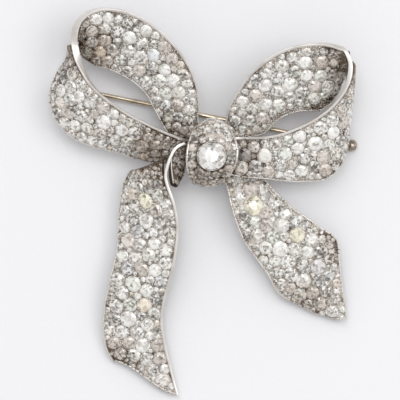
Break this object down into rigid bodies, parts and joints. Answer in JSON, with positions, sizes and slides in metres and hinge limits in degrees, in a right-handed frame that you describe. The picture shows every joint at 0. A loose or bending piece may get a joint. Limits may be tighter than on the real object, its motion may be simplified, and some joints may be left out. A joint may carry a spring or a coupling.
{
  "type": "brooch",
  "caption": "Ribbon-bow brooch with two raised loops and two tails set with diamonds, a knot with a centre stone, and a hinged pin with a sliding tube clasp behind.",
  "frame": {"origin": "centre of the bow's outline, at the height of the lowest points that it rests on", "axes": "+X to the bow's right seen from the front, +Y to the top of the bow, +Z out of its face; the pin lies behind, nearest z = 0"},
  "size_m": [0.0492, 0.0624, 0.0123],
  "materials": {
    "set_silver": "pierced and grained stone-setting metal, softly worn",
    "polished_silver": "polished edge with fine wear",
    "pale_gold": "polished pale gold with fine scratches",
    "diamond": "old-cut, polished facets"
  },
  "bodies": {
    "bow": {"centre_collet": "polished_silver", "centre_diamond": "diamond", "clasp_post": "set_silver", "clasp_tube": "pale_gold", "hinge_bracket": "pale_gold", "hinge_post": "set_silver", "hinge_rivet": "pale_gold", "knot_band": "set_silver", "knot_core": "set_silver", "knot_plate": "set_silver", "left_back_diamond_1": "diamond", "left_back_diamond_2": "diamond", "left_back_diamond_3": "diamond", "left_back_diamond_4": "diamond", "left_back_diamond_5": "diamond", "left_back_diamond_6": "diamond", "left_front_diamond_1": "diamond", "left_front_diamond_2": "diamond", "left_front_diamond_3": "diamond", "left_front_diamond_4": "diamond", "left_front_diamond_5": "diamond", "left_loop_back_band": "set_silver", "left_loop_edge": "polished_silver", "left_loop_front_band": "set_silver", "left_tail": "set_silver", "left_tail_diamond_1": "diamond", "left_tail_diamond_2": "diamond", "left_tail_diamond_3": "diamond", "left_tail_diamond_4": "diamond", "left_tail_diamond_5": "diamond", "left_tail_diamond_6": "diamond", "left_tail_diamond_7": "diamond", "left_tail_diamond_8": "diamond", "left_tail_diamond_9": "diamond", "left_tail_edge": "polished_silver", "right_back_diamond_1": "diamond", "right_back_diamond_2": "diamond", "right_back_diamond_3": "diamond", "right_back_diamond_4": "diamond", "right_back_diamond_5": "diamond", "right_back_diamond_6": "diamond", "right_front_diamond_1": "diamond", "right_front_diamond_2": "diamond", "right_front_diamond_3": "diamond", "right_front_diamond_4": "diamond", "right_front_diamond_5": "diamond", "right_front_diamond_6": "diamond", "right_loop_back_band": "set_silver", "right_loop_edge": "polished_silver", "right_loop_front_band": "set_silver", "right_tail": "set_silver", "right_tail_diamond_1": "diamond", "right_tail_diamond_2": "diamond", "right_tail_diamond_3": "diamond", "right_tail_diamond_4": "diamond", "right_tail_diamond_5": "diamond", "right_tail_diamond_6": "diamond", "tail_fold": "set_silver"},
    "pin": {"pin_stem": "pale_gold"},
    "clasp_sleeve": {"clasp_slider": "pale_gold"}
  },
  "joints": [
    {"name": "pin_swing", "type": "hinge", "parent": "bow", "child": "pin", "pos_m": [-0.0201, 0.01766, 0.00105], "axis": [0.1984, 0.9801, 0], "range_deg": [0, 80]},
    {"name": "clasp_slide", "type": "slide", "parent": "bow", "child": "clasp_sleeve", "axis": [-0.9801, 0.1984, 0], "range_m": [0, 0.0023]}
  ]
}
